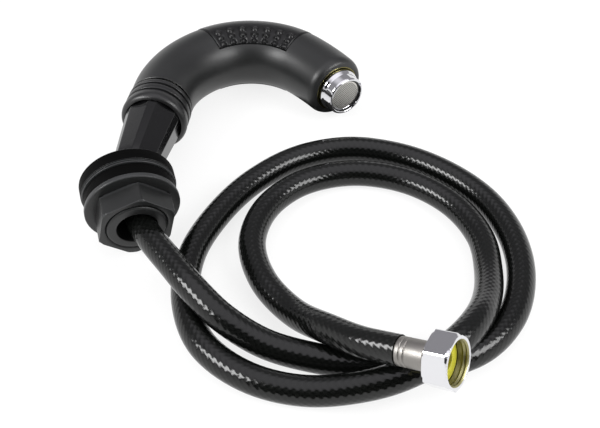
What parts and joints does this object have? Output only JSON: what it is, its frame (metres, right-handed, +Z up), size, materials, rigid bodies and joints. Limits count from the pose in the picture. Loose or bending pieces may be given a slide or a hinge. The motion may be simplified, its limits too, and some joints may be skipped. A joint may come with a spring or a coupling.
{
  "type": "pull-out bath spray handset with hose and deck bushing",
  "caption": "Black curved pull-out bath spray handset with a ribbed collar, a braided hose, a flanged deck bushing with its nut, and a chrome union nut.",
  "frame": {"origin": "centre of the bounding box of the handset and bushing, at its bottom, without the hose and what is on it", "axes": "+Z up from the surface it lies on, +Y from the bushing towards the curve of the handle, +X towards the side where the hose is looped"},
  "size_m": [0.2276, 0.2825, 0.0509],
  "materials": {
    "handle_black": "satin",
    "pad_rubber": "matt",
    "collar_black": "satin",
    "cone_gloss": "polished",
    "fitting_brass": "machined",
    "seal_rubber": "matt",
    "valve_plastic": "moulded",
    "spring_steel": "drawn",
    "chrome_plate": "polished",
    "mesh_steel": "woven",
    "ferrule_steel": "brushed",
    "hose_black": "glossy over a diamond braid",
    "yellow_rubber": "matt",
    "bushing_dark": "fine texture",
    "gasket_rubber": "matt"
  },
  "bodies": {
    "handset": {"handle_shell": "handle_black", "grip_pad": "pad_rubber", "collar_sleeve": "collar_black", "hose_cone_nut": "cone_gloss", "inlet_fitting": "fitting_brass", "inlet_seal": "seal_rubber", "check_valve_body": "valve_plastic", "check_valve_spring": "spring_steel", "water_tube": "valve_plastic", "outlet_seal": "seal_rubber", "outlet_insert": "fitting_brass", "hose_washer": "seal_rubber", "hose_top_ferrule": "ferrule_steel", "spray_hose": "hose_black", "end_ferrule": "ferrule_steel", "tail_piece": "fitting_brass", "sealing_washer": "yellow_rubber"},
    "poppet": {"check_valve_poppet": "valve_plastic"},
    "aerator_seat": {"aerator_washer": "seal_rubber"},
    "aerator": {"aerator_housing": "chrome_plate", "aerator_cartridge": "valve_plastic", "aerator_mesh": "mesh_steel"},
    "union_nut": {"coupling_nut": "chrome_plate"},
    "bushing": {"deck_bushing": "bushing_dark", "neck_ring": "seal_rubber", "flange_gasket": "bushing_dark", "deck_gasket": "gasket_rubber"},
    "washer": {"clamp_washer": "bushing_dark"},
    "shank_nut": {"lock_nut": "bushing_dark"}
  },
  "joints": [
    {"name": "poppet_lift", "type": "slide", "parent": "handset", "child": "poppet", "axis": [0.1318, 0.9911, -0.0214], "range_m": [0, 0.0025], "stiffness_N_per_m": 20, "springref_m": -0.002, "deforming": ["check_valve_spring"]},
    {"name": "aerator_unscrew", "type": "slide", "parent": "handset", "child": "aerator_seat", "axis": [0.5579, -0.8299, 0.0009], "range_m": [0, 0.006]},
    {"name": "aerator_turn", "type": "hinge", "parent": "aerator_seat", "child": "aerator", "pos_m": [0.05812, 0.0368, 0.01906], "axis": [0.5579, -0.8299, 0.0009], "range_deg": [0, 2161]},
    {"name": "union_turn", "type": "hinge", "parent": "handset", "child": "union_nut", "pos_m": [0.10247, -0.18168, 0.04], "axis": [0.821, -0.484, 0.303], "continuous": true},
    {"name": "bushing_glide", "type": "hinge", "parent": "handset", "child": "bushing", "pos_m": [0.03577, -0.04467, 0.0228], "axis": [0, 0, 1], "range_deg": [0, 6]},
    {"name": "washer_slide", "type": "slide", "parent": "bushing", "child": "washer", "axis": [0.2701, -0.9527, -0.1392], "range_m": [0, 0.003]},
    {"name": "nut_turn", "type": "hinge", "parent": "washer", "child": "shank_nut", "pos_m": [-0.04553, -0.07288, 0.02422], "axis": [0.2701, -0.9527, -0.1392], "range_deg": [0, 541]}
  ],
  "couplings": [
    {"joint": "aerator_turn", "follows": "aerator_unscrew", "rad_per_m": 6283.2},
    {"joint": "nut_turn", "follows": "washer_slide", "rad_per_m": 3141.6}
  ]
}
